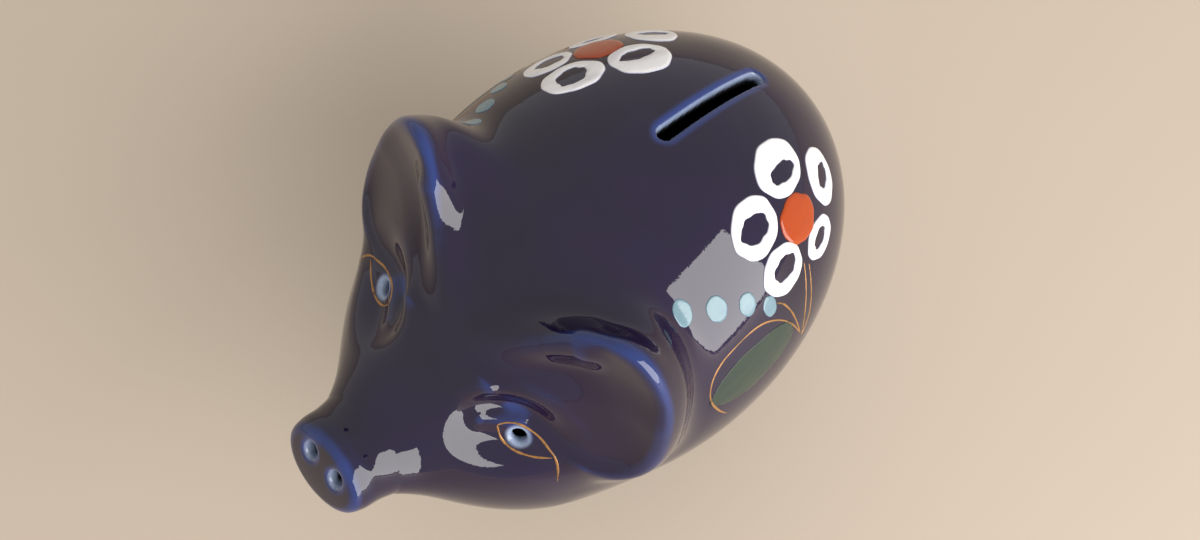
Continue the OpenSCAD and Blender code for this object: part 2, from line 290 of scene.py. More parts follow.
def skin(p):
    """Outside of the clay before anything is cut into it."""
    return join(head(p), feet(p), 6)


def slot_hole(p, slot_length, slot_width):
    """Coin slot with round ends, cut square to the back."""
    q = turned(p - np.array(SLOT_FRONT), SLOT_SLOPE)
    half = (slot_length - slot_width) / 2
    along = np.maximum(np.abs(q[..., 1] - slot_length / 2) - half, 0)
    return np.maximum(np.hypot(along, q[..., 0]) - slot_width / 2, np.abs(q[..., 2]) - SLOT_REACH)


def drilled(p, at, out, r, deep):
    """Round hole of radius r that goes in deep at a point, against the direction out."""
    q = p - np.array(at)
    t = q @ unit(out)
    return np.maximum(length(q - t[..., None] * unit(out)) - r, -t - deep)


def nostrils(p):
    """Two oval holes in the face of the snout."""
    q = mirrored(p) - SNOUT_C
    x = (q[..., 0] - NOSTRIL_AT[0]) / NOSTRIL_R[0]
    y = (q @ SNOUT_UP - NOSTRIL_AT[1]) / NOSTRIL_R[1]
    return np.maximum((np.hypot(x, y) - 1) * NOSTRIL_R[0], -(q @ SNOUT_DIR) - NOSTRIL_DEEP)


def bare_edges(p, shape):
    """How thin the glaze lies round each hole: 1 at its edge, 0 away from it."""
    slot = slot_hole(p, shape.slot_length / MM, shape.slot_width / MM)
    eyes = drilled(mirrored(p), EYE_AT, EYE_OUT, shape.eye_hole / MM / 2, EYE_DEEP)
    holes = ((slot, SLOT_EDGE), (eyes, EYE_EDGE), (nostrils(p), NOSTRIL_EDGE))
    return np.max([np.clip(1.25 - np.maximum(d, 0) / reach, 0, 1) for d, reach in holes], axis=0)


def clay(p, shape):
    """Wall of the whole pig, with its hollow and every hole."""
    wall = shape.wall / MM
    hollow = ellipsoid(turned(p - np.array(BARREL_C), BARREL_PITCH), np.array(BARREL_R) - wall)
    ball = length(p - np.array(HEAD_BALL_C)) - HEAD_BALL_R
    d = cut(skin(p), join(hollow, ball, 8), 1)
    d = cut(d, slot_hole(p, shape.slot_length / MM, shape.slot_width / MM), 1.6)
    d = cut(d, drilled(mirrored(p), EYE_AT, EYE_OUT, shape.eye_hole / MM / 2, EYE_DEEP), 1.2)
    d = cut(d, nostrils(p), 1.2)
    y, r, seat_r, seat_z = BELLY_HOLE
    out = np.hypot(p[..., 0], p[..., 1] - y)
    d = cut(d, np.maximum(out - r, p[..., 2] - BELLY_HOLE_TOP), 0.6)
    return cut(d, np.maximum(out - seat_r, p[..., 2] - seat_z), 0.6)


# ---------------------------------------------------------------- from a shape to a mesh


def slopes(f, p, step=0.12):
    """Unit normals of f at p, and how fast f changes along them."""
    g = np.stack([f(p + step * v) - f(p - step * v) for v in np.eye(3)], -1) / (2 * step)
    return g / np.maximum(length(g), 1e-6)[..., None], length(g)


def bend_of(f, p, step):
    """How sharply the surface bends at p: above zero on a ridge, below in a crease."""
    around = sum(f(p + step * v) + f(p - step * v) for v in np.eye(3))
    return (around - 6 * f(p)) / step ** 2


def surface_of(f, low, high, step):
    """Points, normals and four-sided faces where f is zero."""
    axes = [np.arange(a, b, step) for a, b in zip(low, high)]
    layers = []
    for x in axes[0]:
        yy, zz = np.meshgrid(axes[1], axes[2], indexing="ij")
        layers.append(f(np.stack([np.full_like(yy, x), yy, zz], -1)).astype(np.float32))
    grid = openvdb.FloatGrid()
    grid.copyFromArray(np.stack(layers))
    points, quads = grid.convertToQuads(isovalue=0.0)
    p = np.array(low) + points.astype(float) * step
    for _ in range(4):
        n, g = slopes(f, p)
        p = p - n * np.clip(f(p) / np.maximum(g, 0.2), -step, step)[..., None]
    return p, slopes(f, p)[0], quads


def add_mesh(name, points_mm, faces, normals=None, smooth=True):
    mesh = bpy.data.meshes.new(name)
    mesh.from_pydata((np.asarray(points_mm) * MM).tolist(), [], [tuple(map(int, f)) for f in faces])
    mesh.validate()
    mesh.polygons.foreach_set("use_smooth", [smooth] * len(mesh.polygons))
    if normals is not None:
        mesh.normals_split_custom_set_from_vertices(np.asarray(normals).tolist())
    mesh.update()
    piece = bpy.data.objects.new(name, mesh)
    bpy.context.scene.collection.objects.link(piece)
    return piece


def set_values(piece, name, values):
    layer = piece.data.attributes.new(name, "FLOAT", "POINT")
    layer.data.foreach_set("value", np.asarray(values, np.float32))


def finish_piece(piece, body, material, nodes=()):
    piece.data.materials.append(material)
    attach(piece, body)
    if nodes:
        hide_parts(*nodes)
    return piece


# ---------------------------------------------------------------- shader groups


def new_group(name, inputs, outputs):
    """An empty shader group with named inputs (name, kind, default) and outputs (name, kind)."""
    group = bpy.data.node_groups.new(name, "ShaderNodeTree")
    for label, kind, default in inputs:
        socket = group.interface.new_socket(label, in_out="INPUT", socket_type=kind)
        socket.default_value = default
    for label, kind in outputs:
        group.interface.new_socket(label, in_out="OUTPUT", socket_type=kind)
    return group, group.nodes.new("NodeGroupInput"), group.nodes.new("NodeGroupOutput")


def noise(tree, vector, scale, detail=2.0, rough=0.5):
    n = tree.nodes.new("ShaderNodeTexNoise")
    n.inputs["Scale"].default_value = scale
    n.inputs["Detail"].default_value = detail
    n.inputs["Roughness"].default_value = rough
    tree.links.new(vector, n.inputs["Vector"])
    return n.outputs["Fac"]


def maths(tree, op, a, b=None, clamp=False):
    n = tree.nodes.new("ShaderNodeMath")
    n.operation = op
    n.use_clamp = clamp
    for socket, value in zip(n.inputs, (a, b)):
        if value is None:
            continue
        if isinstance(value, (int, float)):
            socket.default_value = value
        else:
            tree.links.new(value, socket)
    return n.outputs[0]


def span(tree, value, low, high, to_low=0.0, to_high=1.0):
    n = tree.nodes.new("ShaderNodeMapRange")
    n.interpolation_type = "SMOOTHSTEP"
    for label, v in (("From Min", low), ("From Max", high), ("To Min", to_low), ("To Max", to_high)):
        n.inputs[label].default_value = v
    tree.links.new(value, n.inputs["Value"])
    return n.outputs["Result"]


def mix_colour(tree, fac, a, b):
    n = tree.nodes.new("ShaderNodeMix")
    n.data_type = "RGBA"
    sockets = (n.inputs["Factor"], n.inputs[6], n.inputs[7])
    for socket, value in zip(sockets, (fac, a, b)):
        if isinstance(value, (int, float)):
            socket.default_value = value
        elif isinstance(value, (tuple, list)):
            socket.default_value = (*value[:3], 1)
        else:
            tree.links.new(value, socket)
    return n.outputs[2]


def kiln_skin():
    """Fired surface: a slow waviness, fine orange peel, pinholes and a tone that drifts."""
    name = "kiln_skin"
    if name in bpy.data.node_groups:
        return bpy.data.node_groups[name]
    group, into, out = new_group(
        name,
        [("Peel", "NodeSocketFloat", 0.1), ("Pinholes", "NodeSocketFloat", 1.0)],
        [("Height", "NodeSocketFloat"), ("Tone", "NodeSocketFloat"), ("Pits", "NodeSocketFloat")],
    )
    where = group.nodes.new("ShaderNodeTexCoord").outputs["Object"]
    slow = noise(group, where, 55.0, 1.0)
    peel = maths(group, "MULTIPLY", noise(group, where, 900.0, 2.0), into.outputs["Peel"])
    spots = group.nodes.new("ShaderNodeTexVoronoi")
    spots.inputs["Scale"].default_value = 110.0
    group.links.new(where, spots.inputs["Vector"])
    size = maths(group, "MULTIPLY", span(group, noise(group, where, 60.0), 0.56, 0.72), 0.055)
    pit = maths(group, "LESS_THAN", spots.outputs["Distance"], size)
    pit = maths(group, "MULTIPLY", pit, into.outputs["Pinholes"])
    height = maths(group, "ADD", maths(group, "ADD", slow, peel), maths(group, "MULTIPLY", pit, -0.12))
    group.links.new(height, out.inputs["Height"])
    group.links.new(span(group, noise(group, where, 28.0, 4.0, 0.6), 0.3, 0.7), out.inputs["Tone"])
    group.links.new(pit, out.inputs["Pits"])
    return group


def brush_drag():
    """Streaks and thin places that a loaded brush leaves in enamel."""
    name = "brush_drag"
    if name in bpy.data.node_groups:
        return bpy.data.node_groups[name]
    group, into, out = new_group(
        name,
        [("Streaks", "NodeSocketFloat", 1.0), ("Scale", "NodeSocketFloat", 400.0)],
        [("Height", "NodeSocketFloat"), ("Thin", "NodeSocketFloat")],
    )
    where = group.nodes.new("ShaderNodeTexCoord").outputs["Object"]
    stretch = group.nodes.new("ShaderNodeMapping")
    stretch.inputs["Scale"].default_value = (1.0, 0.25, 1.0)
    group.links.new(where, stretch.inputs["Vector"])
    streak = group.nodes.new("ShaderNodeTexNoise")
    streak.inputs["Detail"].default_value = 3.0
    group.links.new(stretch.outputs["Vector"], streak.inputs["Vector"])
    group.links.new(into.outputs["Scale"], streak.inputs["Scale"])
    strong = maths(group, "MULTIPLY", streak.outputs["Fac"], into.outputs["Streaks"])
    group.links.new(strong, out.inputs["Height"])
    group.links.new(span(group, strong, 0.45, 0.75), out.inputs["Thin"])
    return group


PIT_COLOUR = (0.10, 0.13, 0.22)
# painted shade: surfaces deep inside the hollow are coloured near black
HOLLOW_SHADE_COLOUR = (0.006, 0.006, 0.010)
GLAZE_ROUGHNESS, GLAZE_IOR = 0.035, 1.54


def start_material(name):
    material = bpy.data.materials.new(name)
    material.use_nodes = True
    tree = material.node_tree
    return material, tree, tree.nodes["Principled BSDF"]


def place_group(tree, group, **values):
    n = tree.nodes.new("ShaderNodeGroup")
    n.node_tree = group
    for label, value in values.items():
        n.inputs[label].default_value = value
    return n


def value_of(tree, name):
    n = tree.nodes.new("ShaderNodeAttribute")
    n.attribute_name = name
    return n.outputs["Fac"]


def raise_by(tree, shader, height, strength, distance):
    bump = tree.nodes.new("ShaderNodeBump")
    bump.inputs["Strength"].default_value = strength
    bump.inputs["Distance"].default_value = distance
    tree.links.new(height, bump.inputs["Height"])
    tree.links.new(bump.outputs["Normal"], shader.inputs["Normal"])


def cobalt_glaze(paint):
    """Deep glossy cobalt: brighter on ridges, partly thin glaze and partly a painted highlight; almost bare
    on the sharpest edges; near black inside the hollow as painted shade.
    """
    ready = bpy.data.materials.get("fired_cobalt")
    if ready:
        return ready
    material, tree, shader = start_material("fired_cobalt")
    fired = place_group(tree, kiln_skin(), Peel=0.05, Pinholes=1.0)
    ridge = span(tree, value_of(tree, "ridge"), 0.12, 0.60)
    blotches = span(tree, fired.outputs["Tone"], 0, 1, 0.75, 1.1)
    blotched = maths(tree, "MULTIPLY", value_of(tree, "bare"), blotches)
    sharp = span(tree, blotched, 0.25, 1.0)
    inside = value_of(tree, "inside")
    deep = tuple(c * 0.6 for c in paint.cobalt)
    base = mix_colour(tree, fired.outputs["Tone"], deep, tuple(paint.cobalt))
    # ridges turn paler: partly thin glaze, partly a painted highlight along them
    base = mix_colour(tree, ridge, base, tuple(paint.thin_cobalt_and_sheen))
    base = mix_colour(tree, sharp, base, tuple(paint.edge_white))
    base = mix_colour(tree, fired.outputs["Pits"], base, PIT_COLOUR)
    # painted shade: the inside of the hollow is darkened to near black
    base = mix_colour(tree, inside, base, HOLLOW_SHADE_COLOUR)
    tree.links.new(base, shader.inputs["Base Color"])
    pitted = span(tree, fired.outputs["Pits"], 0, 1, GLAZE_ROUGHNESS, 0.3)
    rough = maths(tree, "ADD", pitted, maths(tree, "MULTIPLY", inside, 0.5))
    tree.links.new(rough, shader.inputs["Roughness"])
    shader.inputs["IOR"].default_value = GLAZE_IOR
    raise_by(tree, shader, fired.outputs["Height"], 0.35, 0.0006)
    return material


def enamel(name, colour, under, streaks, roughness=0.12):
    """Opaque painted enamel that thins where the brush dragged."""
    material, tree, shader = start_material(name)
    drag = place_group(tree, brush_drag(), Streaks=streaks, Scale=420.0)
    thin = drag.outputs["Thin"]
    dragged = tuple(0.82 * c + 0.18 * u for c, u in zip(colour, under))
    edge = tuple(0.25 * c + 0.75 * u for c, u in zip(colour, under))
    base = mix_colour(tree, thin, tuple(colour), dragged)
    base = mix_colour(tree, value_of(tree, "rim"), base, edge)
    tree.links.new(base, shader.inputs["Base Color"])
    tree.links.new(span(tree, thin, 0, 1, roughness, roughness + 0.15), shader.inputs["Roughness"])
    raise_by(tree, shader, drag.outputs["Height"], 0.3, 0.0003)
    return material


def gold_line(paint):
    """Thin gold paint, dull where the brush left little."""
    material, tree, shader = start_material("gold_line")
    drag = place_group(tree, brush_drag(), Streaks=1.0, Scale=700.0)
    dull = tuple(0.35 * c for c in paint.gold)
    thin = drag.outputs["Thin"]
    tree.links.new(mix_colour(tree, thin, tuple(paint.gold), dull), shader.inputs["Base Color"])
    shader.inputs["Metallic"].default_value = 0.35
    tree.links.new(span(tree, thin, 0, 1, 0.28, 0.5), shader.inputs["Roughness"])
    raise_by(tree, shader, drag.outputs["Height"], 0.4, 0.0001)
    return material


def soft_plastic(paint):
    """Matt flexible plastic, with a moulded grain and dust in it."""
    material, tree, shader = start_material("soft_plastic")
    where = tree.nodes.new("ShaderNodeTexCoord").outputs["Object"]
    grain = noise(tree, where, 2600.0, 2.0)
    blotch = span(tree, noise(tree, where, 90.0, 4.0, 0.6), 0.35, 0.7)
    worn = tuple(0.72 * c for c in paint.bung)
    tree.links.new(mix_colour(tree, blotch, tuple(paint.bung), worn), shader.inputs["Base Color"])
    tree.links.new(span(tree, blotch, 0, 1, 0.42, 0.6), shader.inputs["Roughness"])
    raise_by(tree, shader, grain, 0.25, 0.00015)
    return material


# ---------------------------------------------------------------- painting on the flank (millimetres)


def plane_at(centre, azimuth, elevation):
    """A flat sheet touching the pig at centre: (centre, outward, across, up)."""
    a, e = np.radians(azimuth), np.radians(elevation)
    outward = np.array([np.cos(a) * np.cos(e), np.sin(a) * np.cos(e), np.sin(e)])
    across = np.array([-np.sin(a), np.cos(a), 0])
    return np.array(centre), outward, across, np.cross(outward, across)


FLOWER = plane_at((29.5, 35.5, 91.3), 30, 47)
EYE = plane_at(EYE_AT, -52.6, 46.1)

# Each oval is (across, up, half length, half width, turn in degrees), in the flower's own plane
PETALS = [
    ((7.8, 8.2, 7.4, 6.1, 150), (7.4, 6.9, 4.6, 2.2, 152)),
    ((13.6, -5.9, 6.5, 5.6, 51), (14.2, -6.5, 3.6, 1.9, 11)),
    ((0.4, -10.3, 6.1, 4.0, 162), (0.3, -10.2, 3.5, 1.6, 164)),
    ((-7.8, 10.4, 7.1, 5.7, 179), (-8.1, 10.4, 4.3, 3.1, 144)),
    ((-11.9, -1.2, 6.4, 5.3, 141), (-11.3, -1.4, 3.8, 2.7, 157)),
]
BLOOM = (0, -0.6, 6.1, 5.4, 158)
DOTS = [
    (-30.2, 18.1, 2.9, 2.3, 52),
    (-26.3, 11.1, 2.9, 2.3, 68),
    (-22.4, 4.4, 2.7, 2.1, 70),
    (-20.0, -2.0, 2.6, 1.8, 75),
]
LEAF = (-30.5, -9, 12.2, 5.6, 151)
LEAF_LINE = [
    (-18.6, -20.3), (-19.3, -13.3), (-20.8, -7.6), (-23.4, -3.1), (-26.8, -0.4), (-30.9, 1.3),
    (-34.6, 2.1), (-38.1, 1.3), (-40.7, -1.1), (-41.8, -4.5), (-41.8, -8.8), (-41.1, -12.5),
]
STEM_LINES = [
    [(-7.3, -7.0), (-10.0, -10.5), (-13.1, -14.3), (-16.2, -18.4), (-18.4, -21.9)],
    [(-6.6, -9.1), (-9.0, -12.7), (-11.9, -16.9), (-14.9, -20.3), (-18.4, -21.9)],
    [(-18.6, -3.5), (-17.7, -6.2), (-17.6, -10.6), (-18.1, -15.2), (-18.6, -20.3)],
]
EYE_LINES = [
    [
        (-4.6, 2.3), (-3.0, 3.1), (-0.3, 3.2), (2.2, 2.2), (4.5, 0.8),
        (6.4, -1.0), (8.2, -3.0), (9.1, -6.0), (9.2, -10.2),
    ],
    [(-4.6, 2.3), (-3.9, -0.8), (-2.0, -2.8), (0.7, -3.8), (4.0, -4.0), (7.6, -3.2)],
]
FLOWER_DRIFT = {"left": (0, 0), "right": (-3, 2.6)}
DOT_DRIFT = {"left": (0, 0), "right": (-4.5, -3.5)}
ENAMEL_H, ENAMEL_SINK = 0.34, 0.15
DOT_H, LEAF_H = 0.16, 0.06
LINE_H, STEM_WIDTH, EYE_LINE_WIDTH = 0.07, 0.42, 0.5
BELOW = -1  # marks a point that is sunk under the glaze


def press_on(starts, ahead, f=skin):
    """Points carried straight along ahead from inside the clay to its surface."""
    near = np.zeros(len(starts))
    far = np.full(len(starts), 90.0)
    for _ in range(26):
        mid = (near + far) / 2
        inside = f(starts + mid[:, None] * ahead) < 0
        near = np.where(inside, mid, near)
        far = np.where(inside, far, mid)
    return starts + ((near + far) / 2)[:, None] * ahead


def laid_on(sheet, uv, heights):
    """Points of a flat sheet laid on the glaze, then raised along the surface's own normal."""
    centre, outward, across, up = sheet
    uv = np.asarray(uv, float)
    starts = centre - 40 * outward + uv[:, :1] * across + uv[:, 1:] * up
    p = press_on(starts, outward)
    n, _ = slopes(skin, p)
    return p + n * np.asarray(heights)[:, None]


def oval_points(oval, k, angles, wobble=0.0, seed=0.0):
    """Points of an oval k times its own size, its edge shaken as by hand."""
    u, v, a, b, turn = oval
    waves = np.sin(2 * angles + seed) + 0.6 * np.sin(5 * angles + 2.1 * seed)
    shake = 1 + wobble * (waves + 0.35 * np.sin(9 * angles + seed))
    x, y = k * a * shake * np.cos(angles), k * b * shake * np.sin(angles)
    t = np.radians(turn)
    return np.stack([u + x * np.cos(t) - y * np.sin(t), v + x * np.sin(t) + y * np.cos(t)], -1)


def woven_faces(rows, count, closed_rows=False):
    """Four-sided faces between rings of count points each."""
    faces = []
    for i in range(rows if closed_rows else rows - 1):
        k = (i + 1) % rows
        for j in range(count):
            m = (j + 1) % count
            faces.append((i * count + j, k * count + j, k * count + m, i * count + m))
    return faces


def blot_mesh(oval, count, wobble, seed, height=ENAMEL_H):
    """Points, faces and rim values of one closed blot of enamel."""
    angles = np.linspace(0, 2 * np.pi, count, endpoint=False)
    rings = [
        (0.5, BELOW), (1.0, BELOW), (1.03, 0.1), (0.985, 0.62),
        (0.90, 0.95), (0.72, 1.0), (0.5, 0.94), (0.25, 0.9),
    ]
    uv, h, rim = [], [], []
    for k, level in rings:
        uv.append(oval_points(oval, k, angles, wobble, seed))
        h.append(np.full(count, -ENAMEL_SINK if level < 0 else level * height))
        rim.append(np.full(count, 1.0 if k > 1 or level < 0 else 0.0))
    middle = np.array([[oval[0], oval[1]]] * 2)
    uv.append(middle)
    h.append(np.array([-ENAMEL_SINK, 0.9 * height]))
    rim.append(np.zeros(2))
    faces = woven_faces(len(rings), count)
    low, high = len(rings) * count, len(rings) * count + 1
    last = (len(rings) - 1) * count
    for j in range(count):
        m = (j + 1) % count
        faces.append((low, j, m))
        faces.append((high, last + m, last + j))
    return np.concatenate(uv), np.concatenate(h), np.concatenate(rim), faces


def ring_mesh(outer, opening, count, seed):
    """Points, faces and rim values of one closed, painted ring."""
    angles = np.linspace(0, 2 * np.pi, count, endpoint=False)
    section = [
        (0.02, BELOW), (0.98, BELOW), (1.0, 0.1), (0.94, 0.62), (0.80, 0.95),
        (0.5, 1.0), (0.2, 0.95), (0.06, 0.62), (0.0, 0.1),
    ]
    edge = oval_points(outer, 1.03, angles, 0.03, seed)
    hole = oval_points(opening, 0.92, angles + np.radians(outer[4] - opening[4]), 0.08, seed + 1.7)
    uv = np.concatenate([hole + (edge - hole) * s for s, _ in section])
    h = np.concatenate([np.full(count, -ENAMEL_SINK if v < 0 else v * ENAMEL_H) for _, v in section])
    rim = np.concatenate([np.full(count, 1.0 if v < 0.5 else 0.0) for _, v in section])
    return uv, h, rim, woven_faces(len(section), count, True)


def smooth_line(points, count):
    """A smooth curve through a few chosen points."""
    p = np.asarray(points, float)
    p = np.concatenate([[2 * p[0] - p[1]], p, [2 * p[-1] - p[-2]]])
    t = np.linspace(0, len(points) - 1 - 1e-9, count)
    i = t.astype(int)
    f = (t - i)[:, None]
    a, b, c, d = p[i], p[i + 1], p[i + 2], p[i + 3]
    square, cube = 2 * a - 5 * b + 4 * c - d, 3 * b - 3 * c + d - a
    return 0.5 * (2 * b + (c - a) * f + square * f ** 2 + cube * f ** 3)


def stroke_mesh(sheet, points, width, height, count=48):
    """A low rounded line painted along points of a sheet."""
    line = smooth_line(points, count)
    ahead = np.gradient(line, axis=0)
    ahead /= np.linalg.norm(ahead, axis=1)[:, None]
    side = np.stack([-ahead[:, 1], ahead[:, 0]], -1)
    t = np.linspace(0, 1, count)
    w = width / 2 * np.sqrt(np.clip(1 - (2 * t - 1) ** 8, 0.02, 1)) * (1 + 0.18 * np.sin(23 * t + 1))
    section = [(-1, BELOW), (-1, 0.1), (-0.6, 0.8), (0, 1), (0.6, 0.8), (1, 0.1), (1, BELOW)]
    uv = np.concatenate([line + side * (w * s)[:, None] for s, _ in section])
    h = np.concatenate([np.full(count, -0.1 if v < 0 else v * height) for _, v in section])
    p = laid_on(sheet, uv, h)
    rows = len(section)
    faces = []
    for i in range(rows):
        k = (i + 1) % rows
        for j in range(count - 1):
            faces.append((i * count + j, i * count + j + 1, k * count + j + 1, k * count + j))
    faces.append(tuple(i * count for i in range(rows)))
    faces.append(tuple(i * count + count - 1 for i in reversed(range(rows))))
    return p, faces


def gathered(parts):
    """Several (points, faces, values) sets as one."""
    points, faces, values, start = [], [], [], 0
    for p, f, v in parts:
        points.append(p)
        values.append(v)
        faces += [tuple(i + start for i in face) for face in f]
        start += len(p)
    return np.concatenate(points), faces, np.concatenate(values)


def both_sides(points, faces, side):
    """The same painting on the left (side 1) or mirrored to the right (side -1)."""
    if side > 0:
        return points, faces
    return points * np.array([-1, 1, 1]), [tuple(reversed(f)) for f in faces]


# ---------------------------------------------------------------- operators

FLOOR_HALF = 1500  # millimetres
CAMERA_AT, CAMERA_TURN = (0.053, -0.0468, 0.2703), (45.4, 71.1, 1.5)  # azimuth, elevation, roll
WINDOW_TURN, WINDOW_DISTANCE, WINDOW_SIZE = (92, 23), 1.4, (2.0, 1.2)


def direction(azimuth, elevation):
    """Unit vector away from the pig, its nose at azimuth 0, from angles in radians."""
    level = np.cos(elevation)
    return np.array([np.sin(azimuth) * level, -np.cos(azimuth) * level, np.sin(elevation)])


class PIG_OT_stage(bpy.types.Operator):
    """Floor, camera and soft lights"""

    bl_idname = "pig.stage"
    bl_label = "Stage"

    def execute(self, context):
        stage = context.scene.pig_stage
        half = FLOOR_HALF
        corners = [(-half, -half, 0), (half, -half, 0), (half, half, 0), (-half, half, 0)]
        floor = add_mesh("floor", corners, [(0, 1, 2, 3)])
        material, tree, shader = start_material("plain_floor")
        where = tree.nodes.new("ShaderNodeTexCoord").outputs["Object"]
        cloud = span(tree, noise(tree, where, 2.0, 3.0), 0.3, 0.7)
        pale = tuple(stage.floor)
        base = mix_colour(tree, cloud, pale, tuple(0.96 * c for c in pale))
        tree.links.new(base, shader.inputs["Base Color"])
        shader.inputs["Roughness"].default_value = 0.55
        floor.data.materials.append(material)

        world = bpy.data.worlds.new("room")
        context.scene.world = world
        world.use_nodes = True
        back = world.node_tree.nodes["Background"]
        back.inputs["Color"].default_value = (1.0, 0.97, 0.93, 1)
        back.inputs["Strength"].default_value = stage.sky

        self.softbox("window", stage.window)

        data = bpy.data.cameras.new("camera")
        data.lens = stage.lens
        data.sensor_width = 36
        data.clip_start = 0.005
        camera = bpy.data.objects.new("camera", data)
        context.scene.collection.objects.link(camera)
        az, el, roll = np.radians(CAMERA_TURN)
        back_dir = direction(az, el)
        right = np.array([np.cos(az), np.sin(az), 0])
        up = np.cross(back_dir, right)
        across = np.cos(roll) * right + np.sin(roll) * up
        upward = -np.sin(roll) * right + np.cos(roll) * up
        m = camera.matrix_world.copy()
        for i in range(3):
            m[i][0], m[i][1], m[i][2] = across[i], upward[i], back_dir[i]
        m.translation = CAMERA_AT
        camera.matrix_world = m
        context.scene.camera = camera
        context.scene.view_settings.view_transform = "Standard"
        return {"FINISHED"}

    def softbox(self, name, radiance):
        """A plain area light whose surface has the given brightness."""
        data = bpy.data.lights.new(name, "AREA")
        data.shape = "RECTANGLE"
        data.size, data.size_y = WINDOW_SIZE
        data.energy = radiance * np.pi * WINDOW_SIZE[0] * WINDOW_SIZE[1]
        data.color = (1.0, 0.98, 0.96)
        lamp = bpy.data.objects.new(name, data)
        bpy.context.scene.collection.objects.link(lamp)
        away = Vector(direction(*np.radians(WINDOW_TURN)))
        lamp.location = Vector((0, 0, 0.05)) + away * WINDOW_DISTANCE
        lamp.rotation_mode = "QUATERNION"
        lamp.rotation_quaternion = away.to_track_quat("Z", "Y")


class PIG_OT_clay(bpy.types.Operator):
    """Glazed clay: barrel, head, ears and feet, with the slot and every hole"""

    bl_idname = "pig.clay"
    bl_label = "Glazed clay"

    def execute(self, context):
        shape = context.scene.pig_shape
        step = shape.mesh_step / MM

        def wall(p):
            return clay(p, shape)

        p, n, quads = surface_of(wall, (-53, -80.5, -1.5), (53, 78, 119), step)
        piece = add_mesh("glazed_pig", p, quads, n)
        # how sharply the clay bends; ridges get the paler blue of thin glaze and a painted highlight
        set_values(piece, "ridge", np.clip(bend_of(wall, p, 1.5), -1, 3))
        set_values(piece, "bare", bare_edges(p, shape))
        set_values(piece, "inside", (skin(p) < -INSIDE_DEPTH).astype(float))
        nodes = ("body_shell", "ear_left", "ear_right", "foot_front_left", "foot_front_right",
                 "foot_rear_left", "foot_rear_right")
        finish_piece(piece, PIG, cobalt_glaze(context.scene.pig_paint), nodes)
        return {"FINISHED"}


class PIG_OT_enamel(bpy.types.Operator):
    """Painted flowers, dots and leaves on both flanks"""

    bl_idname = "pig.enamel"
    bl_label = "Enamel"

    def execute(self, context):
        paint = context.scene.pig_paint
        count = context.scene.pig_shape.oval_points
        under = tuple(paint.cobalt)
        white = enamel("thick_white", paint.white, (0.05, 0.07, 0.25), 1.0)
        orange = enamel("thick_orange", paint.orange, (0.20, 0.03, 0.01), 1.0)
        blue = enamel("thick_pale_blue", paint.pale_blue, (0.05, 0.10, 0.25), 1.0)
        green = enamel("brushed_green", paint.leaf, under, 1.3, 0.10)

        for word, side in (("left", 1), ("right", -1)):
            drift = np.array(FLOWER_DRIFT[word])
            petals, dots = [], []
            for i, (outer, opening) in enumerate(PETALS):
                uv, h, rim, faces = ring_mesh(outer, opening, count, 1.3 * i + side)
                petals.append((laid_on(FLOWER, uv + drift, h), faces, rim))
            for i, dot in enumerate(DOTS):
                uv, h, rim, faces = blot_mesh(dot, count // 2, 0.03, i + side, DOT_H)
                dots.append((laid_on(FLOWER, uv + DOT_DRIFT[word], h), faces, rim))
            uv, h, rim, faces = blot_mesh(BLOOM, count, 0.045, 2.2 * side)
            bloom = [(laid_on(FLOWER, uv + drift, h), faces, rim)]
            uv, h, rim, faces = blot_mesh(LEAF, count, 0.03, 0.4, LEAF_H)
            leaf = [(laid_on(FLOWER, uv, h), faces, rim)]
            rows = (
                ("flower_petals", petals, white, "white_enamel"),
                ("flower_centre", bloom, orange, "orange_enamel"),
                ("dots", dots, blue, "pale_blue_enamel"),
                ("leaf", leaf, green, "leaf_enamel"),
            )
            for label, parts, material, slot in rows:
                points, faces, rim = gathered(parts)
                points, faces = both_sides(points, faces, side)
                piece = add_mesh(f"{label}_{word}_paint", points, faces)
                set_values(piece, "rim", rim)
                finish_piece(piece, PIG, material, (f"{label}_{word}",))
        return {"FINISHED"}


class PIG_OT_lines(bpy.types.Operator):
    """Thin gold lines of the stems, leaves and eyes"""

    bl_idname = "pig.lines"
    bl_label = "Gold lines"

    def execute(self, context):
        gold = gold_line(context.scene.pig_paint)
        lines = [(FLOWER, points, STEM_WIDTH) for points in STEM_LINES + [LEAF_LINE]]
        lines += [(EYE, points, EYE_LINE_WIDTH) for points in EYE_LINES]
        parts = []
        for sheet, points, width in lines:
            p, faces = stroke_mesh(sheet, points, width, LINE_H)
            parts.append((p, faces, np.zeros(len(p))))
        for word, side in (("left", 1), ("right", -1)):
            points, faces, _ = gathered(parts)
            points, faces = both_sides(points, faces, side)
            piece = add_mesh(f"gold_lines_{word}", points, faces)
            finish_piece(piece, PIG, gold)
        return {"FINISHED"}


